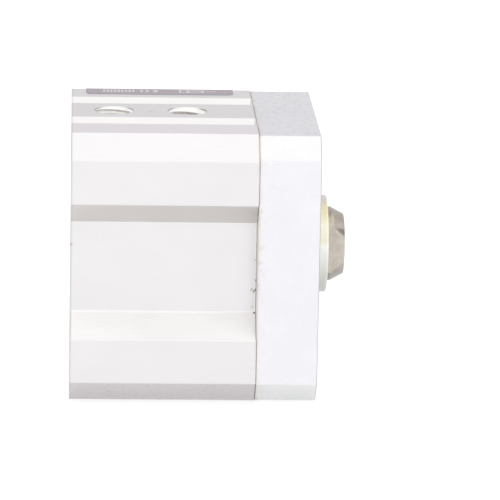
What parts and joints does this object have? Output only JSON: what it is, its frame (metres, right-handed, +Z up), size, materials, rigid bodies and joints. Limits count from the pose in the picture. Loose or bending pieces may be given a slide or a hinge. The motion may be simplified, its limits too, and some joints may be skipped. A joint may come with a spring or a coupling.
{
  "type": "compact pneumatic cylinder",
  "caption": "Short square air cylinder: drawn barrel with relieved sides, sensor slots and threaded ports on top, screwed-on head plate, and a sliding rod with wrench flats and a female thread.",
  "frame": {"origin": "on the rod's axis in the rear mounting face, at the centre of the rear thread pattern", "axes": "+X along the rod, out of the front head; +Z up through the air ports; Y across, with the label on the +Y side"},
  "size_m": [0.0368, 0.036, 0.0361],
  "materials": {
    "barrel_anodised": "satin clear anodised, drawn",
    "head_anodised": "satin clear anodised, milled",
    "cover_anodised": "turned and clear anodised",
    "piston_aluminium": "turned",
    "screw_steel": "bright zinc plated",
    "spring_steel": "phosphated spring steel",
    "rod_steel": "ground stainless steel",
    "bush_bronze": "sintered bronze",
    "black_rubber": "moulded nitrile rubber",
    "amber_polyurethane": "moulded polyurethane",
    "wiper_polyurethane": "greased pale polyurethane",
    "bonded_ferrite": "plastic-bonded ferrite",
    "label_film": "printed polyester film"
  },
  "bodies": {
    "cylinder_body": {"barrel": "barrel_anodised", "front_head": "head_anodised", "head_screws": "screw_steel", "head_ring_seal": "black_rubber", "rod_bush": "bush_bronze", "rod_seal": "amber_polyurethane", "rod_wiper": "wiper_polyurethane", "front_bumper": "amber_polyurethane", "rear_cover": "cover_anodised", "cover_ring_seal": "black_rubber", "rear_circlip": "spring_steel", "rear_bumper": "amber_polyurethane", "label": "label_film"},
    "seal_ring": {"piston_seal": "amber_polyurethane"},
    "rod_assembly": {"piston_rod": "rod_steel", "piston": "piston_aluminium", "piston_retainer": "piston_aluminium", "piston_magnet": "bonded_ferrite", "piston_screw": "screw_steel", "rod_ring_seal": "black_rubber"}
  },
  "joints": [
    {"name": "rod_slide", "type": "slide", "parent": "cylinder_body", "child": "seal_ring", "axis": [1, 0, 0], "range_m": [0, 0.005]},
    {"name": "rod_turn", "type": "hinge", "parent": "seal_ring", "child": "rod_assembly", "pos_m": [0.0085, 0, 0], "axis": [1, 0, 0], "continuous": true}
  ]
}
